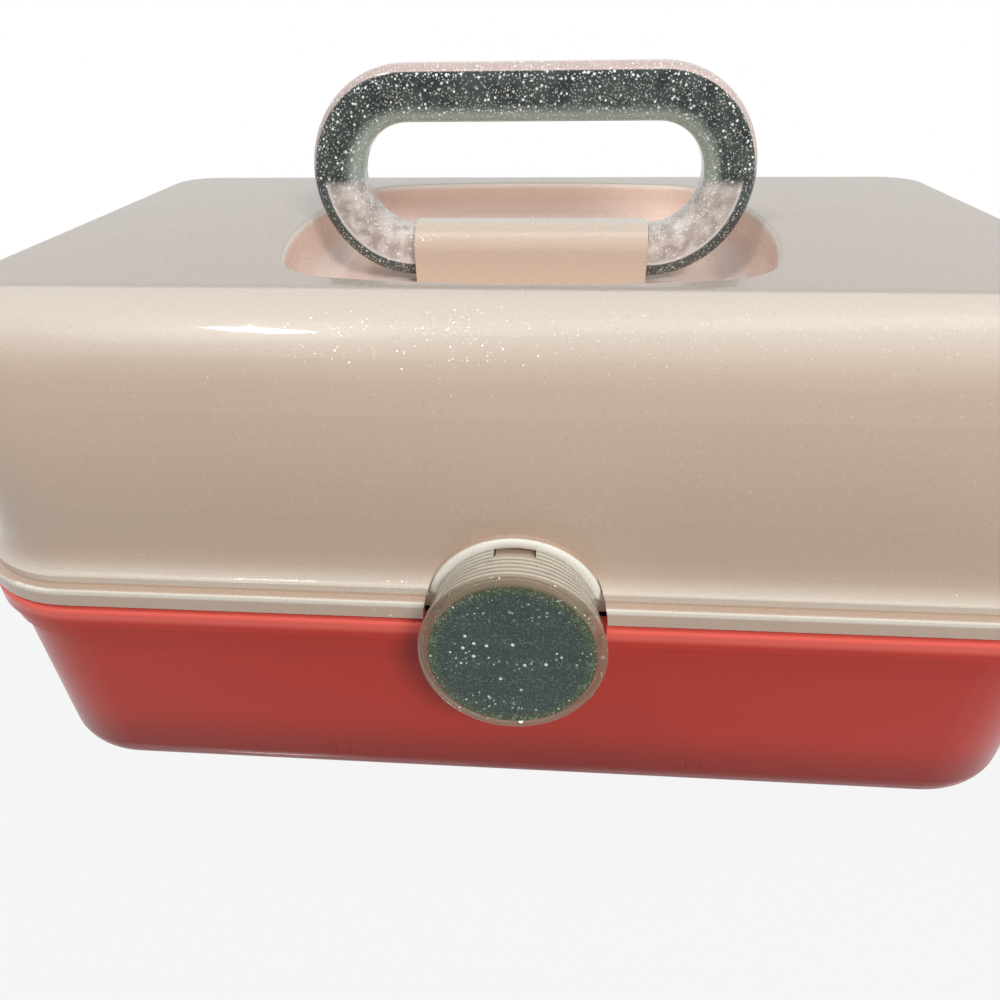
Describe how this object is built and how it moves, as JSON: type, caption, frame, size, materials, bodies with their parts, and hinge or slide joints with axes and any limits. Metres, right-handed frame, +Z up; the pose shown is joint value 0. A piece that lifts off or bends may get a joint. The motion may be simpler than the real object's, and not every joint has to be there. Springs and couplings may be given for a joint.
{
  "type": "make-up case",
  "caption": "Rounded hard make-up case with a crowned lid, fold-down carrying handle in a dished recess, round front latch, rising inner tray and lid mirror.",
  "frame": {"origin": "centre of the flat underside of the base, on the floor", "axes": "+X along the case's length to the viewer's right, +Y to the back hinge, +Z up; the latch faces -Y"},
  "size_m": [0.322, 0.2353, 0.194],
  "materials": {
    "base_coral": "gloss injection-moulded coral red",
    "lid_pearl": "gloss pearl pink-beige with fine sparkle",
    "sleeve_peach": "gloss peach pink",
    "handle_glitter": "clear smoky teal cast plastic with silver flakes",
    "latch_clear": "thick clear plastic with glitter",
    "disc_glitter": "dark green-teal with dense fine silver glitter",
    "frame_pearl": "gloss pearl",
    "mirror_silver": "silvered glass",
    "tray_clear": "translucent pale coral",
    "arm_pearl": "gloss pearl",
    "steel": "plain bright steel"
  },
  "bodies": {
    "base": {"base_shell": "base_coral", "hinge_pin_left": "steel", "hinge_pin_right": "steel", "arm_base_pin_left": "steel", "arm_base_pin_right": "steel", "base_divider_long": "tray_clear", "base_divider_left": "tray_clear", "base_divider_right": "tray_clear"},
    "lid": {"lid_shell": "lid_pearl", "handle_sleeve": "sleeve_peach", "handle_screws": "steel", "mirror_frame": "frame_pearl", "mirror_glass": "mirror_silver", "mirror_screws": "steel", "latch_pin": "steel", "lid_tray_pin_left": "steel", "lid_tray_pin_right": "steel"},
    "handle_body": {"handle": "handle_glitter"},
    "latch": {"latch_cup": "latch_clear", "latch_disc": "disc_glitter"},
    "tray_body": {"tray": "tray_clear", "tray_divider_left": "tray_clear", "tray_divider_right": "tray_clear", "arm_tray_pin_left": "steel", "arm_tray_pin_right": "steel"},
    "arm_left": {"tray_arm_left": "arm_pearl"},
    "arm_right": {"tray_arm_right": "arm_pearl"}
  },
  "joints": [
    {"name": "lid_hinge", "type": "hinge", "parent": "base", "child": "lid", "pos_m": [0, 0.1108, 0.07065], "axis": [-1, 0, 0], "range_deg": [0, 100]},
    {"name": "handle_fold", "type": "hinge", "parent": "lid", "child": "handle_body", "pos_m": [0, 0, 0.1405], "axis": [-1, 0, 0], "range_deg": [-90, 90]},
    {"name": "latch_pivot", "type": "hinge", "parent": "lid", "child": "latch", "pos_m": [0, -0.1045, 0.088], "axis": [-1, 0, 0], "range_deg": [0, 45]},
    {"name": "tray_level", "type": "hinge", "parent": "lid", "child": "tray_body", "pos_m": [0, 0.038, 0.092], "axis": [-1, 0, 0], "range_deg": [-100, 0]},
    {"name": "arm_left_swing", "type": "hinge", "parent": "base", "child": "arm_left", "pos_m": [0, 0.0508, 0.05865], "axis": [-1, 0, 0], "range_deg": [0, 100]},
    {"name": "arm_right_swing", "type": "hinge", "parent": "base", "child": "arm_right", "pos_m": [0, 0.0508, 0.05865], "axis": [-1, 0, 0], "range_deg": [0, 100]}
  ],
  "couplings": [
    {"joint": "tray_level", "follows": "lid_hinge", "ratio": -1},
    {"joint": "arm_left_swing", "follows": "lid_hinge", "ratio": 1},
    {"joint": "arm_right_swing", "follows": "lid_hinge", "ratio": 1}
  ]
}
